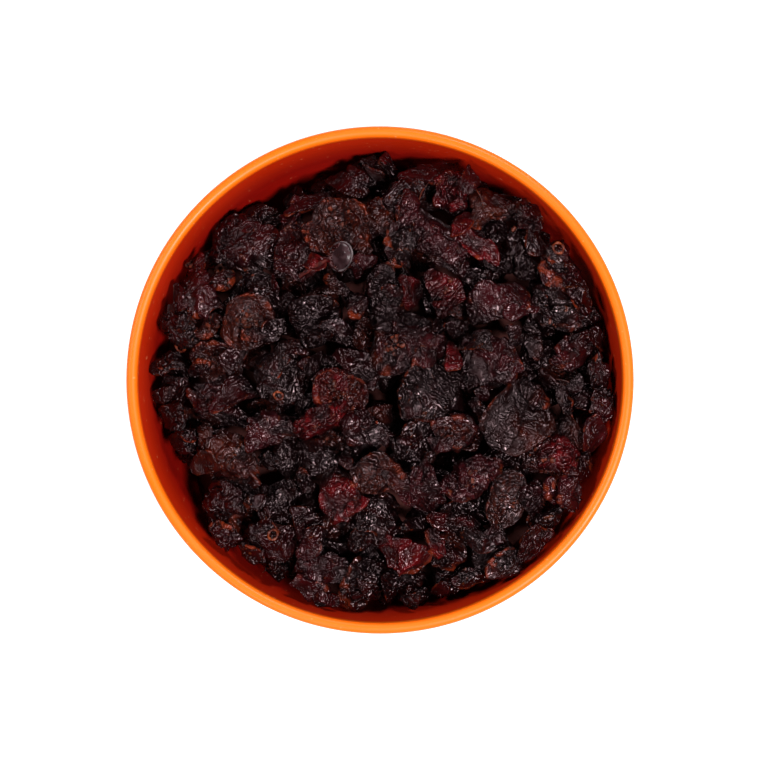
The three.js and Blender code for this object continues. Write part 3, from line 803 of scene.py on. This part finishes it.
def wrinkle_tree():
    """Sets a form on each point, makes it real and raises folds and wrinkles on its skin.

    The wrinkles are ridges side by side across the fruit's grain, or in rings round a place on
    it, and a smooth noise bends them. The noise is the fruit's own, so that no two are alike.
    """
    tree = bpy.data.node_groups.new("wrinkled_fruit", "GeometryNodeTree")
    sockets = (
        ("INPUT", "Geometry", "Geometry"),
        ("INPUT", "Forms", "Collection"),
        *(("INPUT", name, "Float") for name in RELIEF_INPUTS),
        ("INPUT", "Material", "Material"),
        ("OUTPUT", "Geometry", "Geometry"),
    )
    for side, name, kind in sockets:
        tree.interface.new_socket(name, in_out=side, socket_type=f"NodeSocket{kind}")
    nodes = Nodes(tree)
    given = nodes.add("NodeGroupInput").outputs

    def read(name, kind="FLOAT"):
        return nodes.out("GeometryNodeInputNamedAttribute", {"Name": name}, data_type=kind)

    half_size = read("half_size", "FLOAT_VECTOR")
    inputs = {"Collection": given["Forms"], "Separate Children": True, "Reset Children": True}
    forms = nodes.out("GeometryNodeCollectionInfo", inputs)
    turn = nodes.out("FunctionNodeEulerToRotation", {"Euler": read("lean", "FLOAT_VECTOR")})
    inputs = {
        "Points": given["Geometry"],
        "Instance": forms,
        "Pick Instance": True,
        "Instance Index": read("variant", "INT"),
        "Rotation": turn,
        "Scale": half_size,
    }
    laid = nodes.out("GeometryNodeInstanceOnPoints", inputs)
    real = nodes.out("GeometryNodeRealizeInstances", {"Geometry": laid})

    # Where a point is on its own fruit, in millimetres.
    size = nodes.vector("SCALE", half_size, scale=1 / METRES)
    spot = nodes.vector("MULTIPLY", read("place_on_form", "FLOAT_VECTOR"), size)
    odd = read("odd")

    def noise(place, scale, detail, offset, output="Fac"):
        own = nodes.math("MULTIPLY_ADD", odd, OWN_FOLDS, offset)
        return nodes.noise(place, scale, detail, own=own, output=output)

    drift = nodes.vector("SUBTRACT", noise(spot, 0.16, 1.5, 3.0, "Color"), (0.5, 0.5, 0.5))
    warped = nodes.vector("ADD", spot, nodes.vector("SCALE", drift, scale=given["Warp"]))

    # Broad folds: soft hills, and a net of sharp ridges where the skin has sunk in between.
    per_fold = nodes.math("DIVIDE", 1.0, given["Fold spacing"])
    hills = noise(warped, nodes.times(per_fold, 0.7), 0.0, 11.0)
    hill = nodes.math("MULTIPLY_ADD", hills, 2.0, -1.0)
    crossing = nodes.math("SUBTRACT", noise(warped, per_fold, 0.6, 29.0), 0.5)
    far_off = nodes.times(nodes.math("ABSOLUTE", crossing), 5.5, clamp=True)
    sunk = nodes.math("POWER", far_off, 0.65)
    fold = nodes.math("SUBTRACT", nodes.math("MULTIPLY_ADD", hill, 0.8, 0.5), sunk)

    # Fine wrinkles: across the grain, in rings or as pleats.
    grain = read("grain", "FLOAT_VECTOR")
    away = nodes.vector("SUBTRACT", warped, nodes.vector("SCALE", grain, scale=2.0))
    spoke = nodes.add("ShaderNodeSeparateXYZ", {0: away}).outputs
    pleats = nodes.times(nodes.math("ARCTAN2", spoke["Y"], spoke["X"]), PLEATS)
    across = nodes.vector("DOT_PRODUCT", warped, grain)
    run = nodes.mix(read("ringed"), across, nodes.vector("LENGTH", away))
    run = nodes.mix(read("pleated"), run, pleats)
    wander = nodes.math("MULTIPLY_ADD", noise(spot, 0.42, 1.0, 37.0), 4.5, -2.2)
    spacing = nodes.times(read("coarse"), given["Wrinkle spacing"])
    phase = nodes.math("ADD", nodes.math("DIVIDE", run, spacing), wander)
    covered = nodes.spread(noise(spot, 0.22, 1.0, 23.0), 0.36, 0.58, 0.05, 1.0)
    strength = nodes.times(covered, read("wrinkled"))
    wrinkle = nodes.times(nodes.math("SUBTRACT", nodes.ridges(phase, 0.6), 0.7), strength)

    fold_rise = nodes.times(fold, given["Fold depth"])
    wrinkle_rise = nodes.times(wrinkle, given["Wrinkle depth"])
    rise = nodes.times(nodes.math("ADD", fold_rise, wrinkle_rise), METRES)
    push = nodes.vector("SCALE", nodes.out("GeometryNodeInputNormal"), scale=rise)
    kept = nodes.out("GeometryNodeSetPosition", {"Geometry": real, "Offset": push})
    stored = (
        ("relief", fold, "FLOAT"),
        ("ridge_run", phase, "FLOAT"),
        ("ridge_strength", strength, "FLOAT"),
        ("skin_place", warped, "FLOAT_VECTOR"),
    )
    for name, value, kind in stored:
        inputs = {"Geometry": kept, "Name": name, "Value": value}
        kept = nodes.out("GeometryNodeStoreNamedAttribute", inputs, data_type=kind, domain="POINT")
    smooth = nodes.out("GeometryNodeSetShadeSmooth", {"Geometry": kept})
    inputs = {"Geometry": smooth, "Material": given["Material"]}
    nodes.add("NodeGroupOutput", {"Geometry": nodes.out("GeometryNodeSetMaterial", inputs)})
    return tree


def run_tree(thing, tree, values):
    """Runs a node tree on an object with named inputs, and keeps the plain mesh it gives."""
    modifier = thing.modifiers.new(tree.name, "NODES")
    modifier.node_group = tree
    for item in tree.interface.items_tree:
        if item.in_out == "INPUT" and item.name in values:
            modifier[item.identifier] = values[item.name]
    bpy.context.view_layer.update()
    seen = thing.evaluated_get(bpy.context.evaluated_depsgraph_get())
    mesh = bpy.data.meshes.new_from_object(seen)
    thing.modifiers.remove(modifier)
    thing.data = mesh


def fruit_piece(name, pieces, forms, tree, relief, material):
    """One object for fruit of one kind, laid and wrinkled."""
    thing = mesh_object(name, [(p.x, p.y, p.z) for p in pieces], [])

    def store(attribute, value):
        set_attribute(thing.data, attribute, [value(p) for p in pieces])

    store("lean", lambda p: Matrix(p.axes().tolist()).to_euler()[:])
    store("half_size", lambda p: p.half_sizes() * METRES)
    store("variant", lambda p: p.odd % VARIANTS)
    store("odd", lambda p: p.odd)
    store("ringed", lambda p: RINGED[p.kind] * (p.odd % 2))
    store("pleated", lambda p: p.odd % PLEATED_EACH == 0)
    store("wrinkled", lambda p: WRINKLED[p.odd % len(WRINKLED)])
    store("coarse", lambda p: COARSE[p.odd % len(COARSE)])
    store("grain", lambda p: (*heading(p.odd * GRAIN_TURN), 0.3))
    store("shine", lambda p: SHINE[p.tone])
    store("skin_color", lambda p: (*TONES[p.tone], 1))
    values = dict(zip(RELIEF_INPUTS, relief))
    run_tree(thing, tree, {"Forms": forms, "Material": material, **values})
    places = np.empty(len(thing.data.vertices) * 3)
    thing.data.vertices.foreach_get("co", places)
    x, y, z = places.reshape(-1, 3).T / METRES
    # Its depth under the heap's top, which the skin reads for painted shade.
    set_attribute(thing.data, "depth", heap_height(x, y) - z)
    return thing


# ---------- materials

# Painted shade in the creases of the skin.
PAINTED_CREASE_SHADE = (0.0022, 0.0005, 0.0006, 1)
RUBY = (0.024, 0.0008, 0.0012, 1)
# A pale bloom, partly a painted sheen.
BLOOM_AND_SHEEN = (0.026, 0.010, 0.012, 1)
RUST = (0.070, 0.013, 0.0035, 1)
FLESH = ((0.006, 0.0009, 0.0009, 1), (0.042, 0.0062, 0.0032, 1))
TORN = (0.110, 0.013, 0.004, 1)
SKIN_TINT = (1.0, 0.70, 0.74, 1)
SKIN_BUMP = 0.25
DEPTH_SHADE = 5.0  # how deep under the heap's top the skin is at its darkest
DEEP_LIGHT = 0.04  # how much of its tone is left there
SKIN_IOR = 1.39
PLASTIC_IOR = 1.32
DRY_IOR = 1.36
DEFAULT_IOR = 1.5


def new_material(name):
    """An empty node material and its nodes."""
    material = bpy.data.materials.new(name)
    material.use_nodes = True
    material.node_tree.nodes.clear()
    return material, Nodes(material.node_tree)


def shade(nodes, color, roughness, ior=DEFAULT_IOR, **more):
    """Gives a material its shader: a value or a socket for each input."""
    inputs = {"Base Color": color, "Roughness": roughness, "IOR": ior}
    inputs |= {name.replace("_", " "): value for name, value in more.items()}
    shader = nodes.add("ShaderNodeBsdfPrincipled", inputs)
    nodes.add("ShaderNodeOutputMaterial", {"Surface": shader.outputs["BSDF"]})


def object_place(nodes):
    return nodes.add("ShaderNodeTexCoord").outputs["Object"]


def fruit_skin():
    """Dark wrinkled skin: painted shade makes it near black in the creases and darker deeper in the
    heap, with its own tone on the ridges, ruby patches where it is thin, and brown flesh at cut faces
    and edges."""
    material, nodes = new_material("cranberry_skin")

    def read(name, socket="Fac"):
        return nodes.add("ShaderNodeAttribute", attribute_name=name).outputs[socket]

    place = read("skin_place", "Vector")
    odd = read("odd")

    def noise(scale, detail, offset):
        own = nodes.math("MULTIPLY_ADD", odd, OWN_SKIN, offset)
        return nodes.noise(place, scale, detail, 0.6, own)

    def patches(scale, offset, low, high, share, where):
        """Patches of a noise, from none to a share, in the places that are given."""
        patch = nodes.spread(noise(scale, 2.0, offset), low, high, 0.0, share)
        return nodes.times(patch, where)

    ridge = nodes.ridges(read("ridge_run"), 0.55)
    strength = read("ridge_strength")
    valley = nodes.times(nodes.math("SUBTRACT", 1.0, ridge), strength)
    raised = nodes.spread(read("relief"), -0.7, 0.5, 0.2, 1.0)
    # Painted shade: the skin darkens to near black in the wrinkle valleys and low folds, where shade
    # falls.
    height = nodes.times(raised, nodes.math("MULTIPLY_ADD", valley, -0.9, 1.0), clamp=True)
    # Painted shade: the skin darkens the deeper it lies under the heap's top, where less light reaches.
    painted_depth_light = nodes.spread(read("depth"), 0.0, DEPTH_SHADE, 1.0, DEEP_LIGHT)
    painted_light = nodes.times(height, painted_depth_light)
    uneven_tone = nodes.spread(noise(0.28, 2.0, 61.0), 0.36, 0.64, 0.45, 1.35)
    tone = nodes.vector("SCALE", read("skin_color", "Color"), scale=uneven_tone)
    base = nodes.blend(painted_light, PAINTED_CREASE_SHADE, tone)
    # Ruby where the skin is thin, a pale bloom that also paints a sheen on the lit ridges, and specks
    # of rust.
    base = nodes.blend(patches(0.26, 5.0, 0.5, 0.64, 0.42, painted_depth_light), base, RUBY)
    base = nodes.blend(patches(0.7, 9.0, 0.5, 0.72, 0.2, painted_light), base, BLOOM_AND_SHEEN)
    base = nodes.blend(patches(0.8, 51.0, 0.62, 0.7, 0.8, painted_light), base, RUST)
    flesh = nodes.blend(nodes.spread(noise(1.4, 2.0, 15.0), 0.42, 0.62), *FLESH)
    base = nodes.blend(nodes.times(read("flesh"), 0.7), base, flesh)
    torn = patches(0.35, 71.0, 0.47, 0.60, 1.0, read("edge"))
    base = nodes.blend(nodes.times(torn, painted_depth_light), base, TORN)

    uneven = nodes.spread(noise(0.5, 2.0, 31.0), 0.35, 0.65, -0.06, 0.12)
    low = nodes.math("POWER", nodes.math("SUBTRACT", 1.0, height), 2.0)
    dull = nodes.math("MULTIPLY_ADD", low, 0.25, uneven)
    crinkle = nodes.ridges(nodes.times(noise(0.3, 1.5, 41.0), 12.0), 0.6)
    crinkled = nodes.times(crinkle, nodes.spread(noise(0.25, 1.0, 81.0), 0.38, 0.58, 0.2, 1.0))
    bump_height = nodes.math("MULTIPLY_ADD", ridge, nodes.times(strength, 2.2), crinkled)
    roughness = nodes.math("ADD", read("shine"), dull)
    bump = nodes.bump(1.0, SKIN_BUMP, bump_height)
    shade(nodes, base, roughness, SKIN_IOR, Specular_Tint=SKIN_TINT, Normal=bump)
    return material


def core_material():
    """What shows deep between the fruit: a dark, dull brown."""
    material, nodes = new_material("heap_depth")
    patch = nodes.noise(object_place(nodes), 300.0, 2.0)
    base = nodes.blend(patch, (0.030, 0.010, 0.009, 1), (0.050, 0.016, 0.014, 1))
    shade(nodes, base, 1.0, Specular_IOR_Level=0.0)
    return material


def bowl_plastic():
    """Glossy orange moulded plastic with faint specks and an uneven sheen, and painted shade inside: a
    deep red below the lip that darkens further down.
    """
    material, nodes = new_material("orange_plastic")
    spot = object_place(nodes)
    inside = nodes.add("ShaderNodeAttribute", attribute_name="inside").outputs["Fac"]
    # Painted shade: the inner wall darkens to a deep red further down, where the bowl's own shade
    # falls.
    wall_shade = nodes.blend(nodes.spread(inside, 0.0, 1.0), *WALL_SHADE_COLORS)
    base = nodes.blend(nodes.spread(inside, 0.0, 0.08), RIM_COLOR, wall_shade)
    radius = nodes.vector("LENGTH", nodes.vector("MULTIPLY", spot, (1, 1, 0)))
    inputs = {"W": radius, "Scale": 1800.0, "Detail": 1.0}
    streaks = nodes.out("ShaderNodeTexNoise", inputs, noise_dimensions="1D")
    base = nodes.blend(nodes.spread(streaks, 0.4, 0.65, 0.0, 0.3), base, STREAK, "MULTIPLY")
    speck = nodes.spread(nodes.noise(spot, 900.0, 1.0), 0.72, 0.78, 0.0, 0.28)
    base = nodes.blend(speck, base, SPECK)
    sheen = nodes.spread(nodes.noise(spot, 60.0, 3.0), 0.3, 0.7, 0.34, 0.44)
    bump = nodes.bump(0.3, 0.02, nodes.noise(spot, 1500.0, 1.0))
    shade(nodes, base, sheen, PLASTIC_IOR, Normal=bump)
    return material


# ---------- the pieces

BOWL_SIDES = 240
WALL_STEPS = 28
LIP_STEPS = 12
WALL_SHADE_DEPTH = 15.0  # how far down the inner wall its painted shade keeps getting deeper
BRIGHT = 0.8  # how far down the wall has the lip's own colour, above the painted shade
RIM_COLOR = (0.94, 0.135, 0.003, 1)
WALL_SHADE_COLORS = ((0.54, 0.020, 0.0014, 1), (0.21, 0.0030, 0.0012, 1))  # painted shade of the inner wall: below the lip, and deep down
STREAK = (0.8, 0.8, 0.8, 1)
SPECK = (0.95, 0.35, 0.15, 1)


def make_bowl():
    foot_inside = FOOT_RADIUS - FOOT_WIDTH
    bead_z = LIP_Z - LIP_DEPTH
    profile = [
        (0, FOOT_HEIGHT),
        (foot_inside - FOOT_HEIGHT / 2, FOOT_HEIGHT),
        (foot_inside, 0),
        (FOOT_RADIUS, 0),
    ]
    profile += [point for point in wall_arc(FOOT_SWEEP, WALL_SWEEP, WALL) if point[1] < bead_z]
    profile += [(RIM_RADIUS - LIP_PROUD, bead_z), (RIM_RADIUS, bead_z + LIP_PROUD)]
    for angle in np.linspace(0, math.pi, LIP_STEPS + 1):
        radius = RIM_RADIUS - LIP_WIDTH / 2 + LIP_WIDTH / 2 * math.cos(angle)
        profile.append((radius, LIP_Z + LIP_CROWN * math.sin(angle)))
    first_inside = len(profile)
    profile += wall_arc(WALL_SWEEP, 0, 0)[1:]
    profile.append((0, FLOOR_Z))
    shell = lathe("orange_bowl", profile, BOWL_SIDES)
    # How far down the inner wall each ring is, which sets its painted shade.
    depths = [0.0] * first_inside
    depths += [max(0, LIP_Z - BRIGHT - height) / WALL_SHADE_DEPTH for _, height in profile[first_inside:]]
    rings = np.repeat(depths[1:-1], BOWL_SIDES)
    set_attribute(shell.data, "inside", [0.0, depths[-1], *rings])
    return shell


SEEN_CELLS = 3  # grid cells of a piece that must show, or it is left out
CORE_RINGS = 30
CORE_SIDES = 120
SIDE_RINGS = 8
SAME_HEIGHT = 0.01
CORE_COVER = BED_COVER + 0.5  # how deep under the heap's top the core lies


def make_core():
    """The heap's own dark core, which follows the bowl's inside and the heap's top."""
    heights = np.linspace(FLOOR_Z + WALL_GAP, CORE_SHOULDER_Z, SIDE_RINGS)
    side = [(float(wall_radius(z - WALL_GAP)) - WALL_GAP, z) for z in heights]
    shoulder = side[-1][0]
    top = [(shoulder * (1 - i / CORE_RINGS), CORE_SHOULDER_Z) for i in range(1, CORE_RINGS + 1)]
    filling = lathe("heap_core", [(0, side[0][1]), *side, *top], CORE_SIDES)
    for vertex in filling.data.vertices:
        x, y, z = vertex.co / METRES
        cover = float(heap_height(x, y)) - CORE_COVER
        on_top = z > CORE_SHOULDER_Z - SAME_HEIGHT and math.hypot(x, y) < shoulder - WALL_GAP / 5
        z = cover if on_top else min(z, cover)
        room = float(wall_radius(z - WALL_GAP)) - WALL_GAP
        squeeze = min(1, room / max(math.hypot(x, y), room / 2))
        vertex.co = Vector((x * squeeze, y * squeeze, z)) * METRES
    return filling


def grade_of(piece):
    if piece.layer not in ("shown", "wall") or piece.length < MIDDLE_LENGTH:
        return "plain"
    return "fine" if piece.length >= FINE_LENGTH else "middle"


def make_heap():
    skin = fruit_skin()
    forms = make_forms(skin)
    tree = wrinkle_tree()
    laid = [p for p in lay_heap() if p.seen > SEEN_CELLS]
    things = []
    for kind in KINDS:
        for grade in GRADES:
            chosen = [p for p in laid if p.kind == kind and grade_of(p) == grade]
            name = f"{kind}_fruit_{grade}"
            things.append(fruit_piece(name, chosen, forms[kind, grade], tree, RELIEF[kind], skin))
    return things


# ---------- small bits on the fruit

CALYX_RINGS = (
    # x, y, radius
    (-47.9, 8.3, 1.5),
    (-24, -3.7, 1.1),
    (42.3, 31.3, 1.3),
    (-25.4, -36.7, 1.2),
    (20.1, -4.6, 1.0),
)
CALYX_SEED = 11
CALYX_LIFT = 0.35
CRUMBS = (
    # x, y, how far they spread, count
    (2.5, 7.5, 3.0, 26),
    (-31.2, 14, 2.6, 34),
    (-9.5, -3, 3.5, 12),
    (-36, -19, 5.0, 10),
    (39.5, 12.5, 2.0, 6),
    (32.5, 36.5, 1.2, 5),
    (-46.5, 27.5, 2.0, 6),
    (-39, 27, 2.0, 7),
    (-33, 25.5, 2.5, 7),
    (-9, 38, 5.0, 8),
    (-20.5, 38, 2.5, 5),
    (-40.5, 13, 1.6, 6),
    (21.5, -23.5, 4.0, 6),
    (30, -30, 4.0, 6),
    (-14, -12, 4.0, 5),
    (36, -19, 5.0, 8),
    (15, 21.5, 3.0, 5),
)
CRUMB_SIZE = (0.2, 0.8)
CRUMB_SEED = 12
CRUMB_POINTS = 16
FIBRES = (
    # x, y, length, turn in degrees, bow
    (11, 45, 7, 60, 0.8),
    (23.5, 43, 6, -70, 0.6),
    (-3, 24.5, 6, 12, -0.7),
    (44, -1, 7, -20, 0.8),
    (-27, -46, 6, 40, 0.5),
)
FIBRE_WIDTH = 0.16
FIBRE_LIFT = 0.3
STRIP = ((-20.5, -12), (23.6, 28.4))  # its two ends' x, and their y
STRIP_WIDTH = 0.5
STRIP_LIFT = 0.5
BUTTON = (-9.3, 29.2)
BUTTON_SIZE = (2.7, 3.4, 1.0)
BUTTON_TURN = -15  # degrees
BUTTON_SEED = 13
BUTTON_POINTS = 400
RIM_LIFT = 0.55
RIM_HALF_WIDTH = 0.2
DOME_LIFT = 0.1
RING_STEPS = 28
DRY_LOOKS = {
    # two colours, scale of the noise between them, roughness
    "dry_flesh": ((0.018, 0.002, 0.0012, 1), (0.095, 0.013, 0.0035, 1), 450.0, 0.5),
    "dry_calyx": ((0.050, 0.006, 0.0025, 1), (0.17, 0.030, 0.008, 1), 450.0, 0.4),
    "dry_shred": ((0.024, 0.0024, 0.002, 1), (0.070, 0.007, 0.005, 1), 500.0, 0.45),
    "glassy_skin": ((0.014, 0.005, 0.006, 1), (0.045, 0.022, 0.025, 1), 350.0, 0.26),
    "pale_rim": ((0.04, 0.026, 0.028, 1), (0.10, 0.074, 0.078, 1), 500.0, 0.4),
}


class FruitTop:
    """The top of the laid fruit under a place, from its real meshes."""

    ABOVE = 70.0
    STEEPEST = 0.6

    def __init__(self, things):
        bpy.context.view_layer.update()
        self.things = things

    def at(self, x, y):
        """Height of the highest fruit there."""
        start = Vector((x, y, self.ABOVE)) * METRES
        found = [thing.ray_cast(start, Vector((0, 0, -1))) for thing in self.things]
        return max([CORE_SHOULDER_Z, *(spot.z / METRES for hit, spot, _, _ in found if hit)])

    def mean(self, x, y, reach):
        """Mean height and slopes of the fruit around a place."""
        east, west = self.at(x + reach, y), self.at(x - reach, y)
        north, south = self.at(x, y + reach), self.at(x, y - reach)
        slope_x = within((east - west) / (2 * reach), self.STEEPEST)
        slope_y = within((north - south) / (2 * reach), self.STEEPEST)
        return (east + west + north + south + self.at(x, y)) / 5, slope_x, slope_y

    def line(self, x, y, share, lift):
        """A straight slope over the fruit along a path, as points."""
        heights = np.array([self.at(a, b) for a, b in zip(x, y)])
        straight = np.polyval(np.polyfit(share, heights, 1), share) + lift
        return np.stack([x, y, straight], axis=1)


def tube(path, widths, closed=False, sides=6, flat=1.0):
    """A tube along a path, as points and faces."""
    ahead = np.roll(path, -1, axis=0) - np.roll(path, 1, axis=0)
    if not closed:
        ahead[0], ahead[-1] = path[1] - path[0], path[-1] - path[-2]
    ahead /= np.linalg.norm(ahead, axis=1)[:, None]
    side = np.cross(ahead, (0.0, 0.0, 1.0))
    side /= np.linalg.norm(side, axis=1)[:, None]
    up = np.cross(side, ahead)
    turns = circle(sides)[None, :, None]
    around = np.cos(turns) * side[:, None] + flat * np.sin(turns) * up[:, None]
    points = (path[:, None] + np.asarray(widths)[:, None, None] * around).reshape(-1, 3)
    faces = []
    for i in range(len(path) if closed else len(path) - 1):
        low, high = i * sides, (i + 1) % len(path) * sides
        for k in range(sides):
            after = (k + 1) % sides
            faces.append((low + k, low + after, high + after, high + k))
    if not closed:
        faces.append(tuple(range(sides)))
        faces.append(tuple(reversed(range(len(points) - sides, len(points)))))
    return points, faces


def joined(name, parts, smooth=True):
    """One mesh object of several parts, each given as points and faces."""
    points, faces = [], []
    for part_points, part_faces in parts:
        faces += [tuple(len(points) + corner for corner in face) for face in part_faces]
        points += [tuple(point) for point in part_points]
    return mesh_object(name, points, faces, smooth)


def ring_on(top, x, y, across, along, turn, lift):
    """A closed path round a place, lying as the fruit does there."""
    height, slope_x, slope_y = top.mean(x, y, max(across, along))
    path = []
    for t in circle(RING_STEPS):
        dx, dy = turned(across * math.cos(t), along * math.sin(t), *heading(turn))
        path.append((x + dx, y + dy, height + slope_x * dx + slope_y * dy + lift))
    return np.array(path)


def make_calyx_rings(top):
    """Each berry's dry flower end: an uneven ring."""
    rng = np.random.default_rng(CALYX_SEED)
    t = circle(RING_STEPS)
    parts = []
    for x, y, radius in CALYX_RINGS:
        along, turn = radius * rng.uniform(0.75, 0.95), rng.uniform(0, 3)
        path = ring_on(top, x, y, radius, along, turn, CALYX_LIFT)
        path[:, 2] += 0.12 * sway(5 * t, rng)
        widths = 0.24 * radius * (1 + 0.35 * sway(5 * t, rng))
        parts.append(tube(path, widths, closed=True))
    return joined("calyx_rings", parts)


def make_crumbs(top):
    """Crumbs of dry flesh and seed in the cut faces and along torn edges."""
    rng = np.random.default_rng(CRUMB_SEED)
    ball, faces = ball_mesh(CRUMB_POINTS)
    parts = []
    for x, y, spread, count in CRUMBS:
        for _ in range(count):
            dx, dy = rng.normal(size=2) * spread / 2.2
            sizes = rng.uniform(*CRUMB_SIZE) * rng.uniform(0.5, 1.3, size=3)
            turn = np.linalg.qr(rng.normal(size=(3, 3)))[0]
            rough = ball * rng.uniform(0.75, 1.1, size=(len(ball), 1))
            place = (x + dx, y + dy, top.at(x + dx, y + dy))
            parts.append(((rough * sizes) @ turn + place, faces))
    return joined("fruit_crumbs", parts, smooth=False)


def make_fibres(top):
    share = np.linspace(-0.5, 0.5, 13)
    widths = FIBRE_WIDTH * (1.15 - 1.9 * np.abs(share))
    parts = []
    for x, y, length, turn, bow in FIBRES:
        dx, dy = turned(share * length, bow * (1 - 4 * share**2), *heading(math.radians(turn)))
        parts.append(tube(top.line(x + dx, y + dy, share, FIBRE_LIFT), widths))
    return joined("fibres", parts)


def make_strip(top):
    """A narrow shred of skin that lies across the fruit."""
    share = np.linspace(0, 1, 15)
    x, y = [between(ends, share) for ends in STRIP]
    path = top.line(x, y + 0.35 * np.sin(3 * share), share, STRIP_LIFT)
    taper = np.minimum(1, 0.35 + 3 * np.minimum(share, 1 - share))
    widths = STRIP_WIDTH * taper * (1 + 0.15 * np.sin(19 * share))
    return joined("skin_shred", [tube(path, widths, sides=8, flat=0.6)])


def make_button(top):
    """A glassy round skin with a pale rim, on the large flat berry at the far side."""
    across, along = BUTTON_SIZE[:2]
    turn = math.radians(BUTTON_TURN)
    rim = ring_on(top, *BUTTON, across, along, turn, RIM_LIFT)
    widths = RIM_HALF_WIDTH * (1 + 0.3 * np.sin(3 * circle(RING_STEPS)))
    ring = joined("button_rim", [tube(rim, widths, closed=True)])
    ball, faces = ball_mesh(BUTTON_POINTS)
    rng = np.random.default_rng(BUTTON_SEED)
    shape = ball * BUTTON_SIZE * (1 - creases(ball, rng, 4, 0.08, (0.1, 0.3)))[:, None]
    dx, dy = turned(shape[:, 0], shape[:, 1], *heading(turn))
    height, slope_x, slope_y = top.mean(*BUTTON, along)
    z = height + (shape[:, 2] + slope_x * dx + slope_y * dy + DOME_LIFT)
    points = np.stack([BUTTON[0] + dx, BUTTON[1] + dy, z], axis=1)
    return ring, joined("button_skin", [(points, faces)])


def dry_material(name, dark, light, scale, roughness):
    """Two colours in an even noise, for the small dry bits."""
    material, nodes = new_material(name)
    patch = nodes.noise(object_place(nodes), scale, 2.0)
    base = nodes.blend(nodes.spread(patch, 0.38, 0.62), dark, light)
    shade(nodes, base, roughness, DRY_IOR, Normal=nodes.bump(0.6, 0.1, patch))
    return material


def make_bits(fruit):
    top = FruitTop(fruit)
    rim, dome = make_button(top)
    materials = {name: dry_material(name, *look) for name, look in DRY_LOOKS.items()}
    pairs = (
        (make_calyx_rings(top), "dry_calyx"),
        (make_crumbs(top), "dry_flesh"),
        (make_fibres(top), "dry_flesh"),
        (make_strip(top), "dry_shred"),
        (dome, "glassy_skin"),
        (rim, "pale_rim"),
    )
    for thing, name in pairs:
        thing.data.materials.append(materials[name])
    return [thing for thing, _ in pairs]


bowl = make_bowl()
bowl.data.materials.append(bowl_plastic())
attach(bowl, "root")
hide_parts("bowl")

core = make_core()
core.data.materials.append(core_material())
fruit = make_heap()
for heap_piece in [core, *fruit, *make_bits(fruit)]:
    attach(heap_piece, "root")
    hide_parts("cranberries")

# ---------- floor, light and camera

FLOOR_HALF = 1500.0
FLOOR_GLOW = 0.96  # its own white light, so that no shadow greys it
WORLD_GLOW = 0.03
CAMERA_HEIGHT = 0.62  # metres above the floor
SENSOR = 36
PICTURE_WIDTH = 179.35 * METRES  # what the picture spans at the rim's height
WHITE = (1, 1, 1, 1)
LIGHT_SIZE = 0.20  # metres
LIGHTS = (
    # name, place in metres, watts
    ("key", (0.42, -0.32, 1.00), 15.5),
    ("far", (0.35, 0.68, 0.85), 6.4),
    ("near", (-0.30, -0.70, 0.85), 3.6),
    ("left", (-0.72, 0.25, 0.85), 5.4),
)


def make_floor():
    h = FLOOR_HALF
    floor = mesh_object("floor", [(-h, -h, 0), (h, -h, 0), (h, h, 0), (-h, h, 0)], [(0, 1, 2, 3)])
    material, nodes = new_material("white_paper")
    grain = nodes.noise(object_place(nodes), 400.0, 2.0)
    base = nodes.blend(grain, (0.28, 0.28, 0.28, 1), (0.30, 0.30, 0.30, 1))
    shade(nodes, base, 0.9, Emission_Color=WHITE, Emission_Strength=FLOOR_GLOW)
    floor.data.materials.append(material)


def area_light(name, place, power):
    """A square soft light that faces the bowl."""
    lamp = bpy.data.lights.new(name, "AREA")
    lamp.size = LIGHT_SIZE
    lamp.energy = power
    thing = new_object(name, lamp)
    aim = Vector((0, 0, BOWL_HEIGHT * METRES)) - Vector(place)
    thing.location = place
    thing.rotation_euler = aim.to_track_quat("-Z", "Y").to_euler()


def make_camera():
    camera = bpy.data.cameras.new("camera")
    thing = new_object("camera", camera)
    thing.location = (0, 0, CAMERA_HEIGHT)
    camera.sensor_fit = "HORIZONTAL"
    camera.sensor_width = SENSOR
    camera.lens = SENSOR * (CAMERA_HEIGHT - BOWL_HEIGHT * METRES) / PICTURE_WIDTH
    bpy.context.scene.camera = thing


def make_world():
    world = bpy.data.worlds.new("studio")
    world.use_nodes = True
    background = world.node_tree.nodes["Background"].inputs
    background["Color"].default_value = WHITE
    background["Strength"].default_value = WORLD_GLOW
    bpy.context.scene.world = world


make_floor()
for light in LIGHTS:
    area_light(*light)
make_world()
make_camera()
bpy.context.scene.view_settings.view_transform = "Standard"
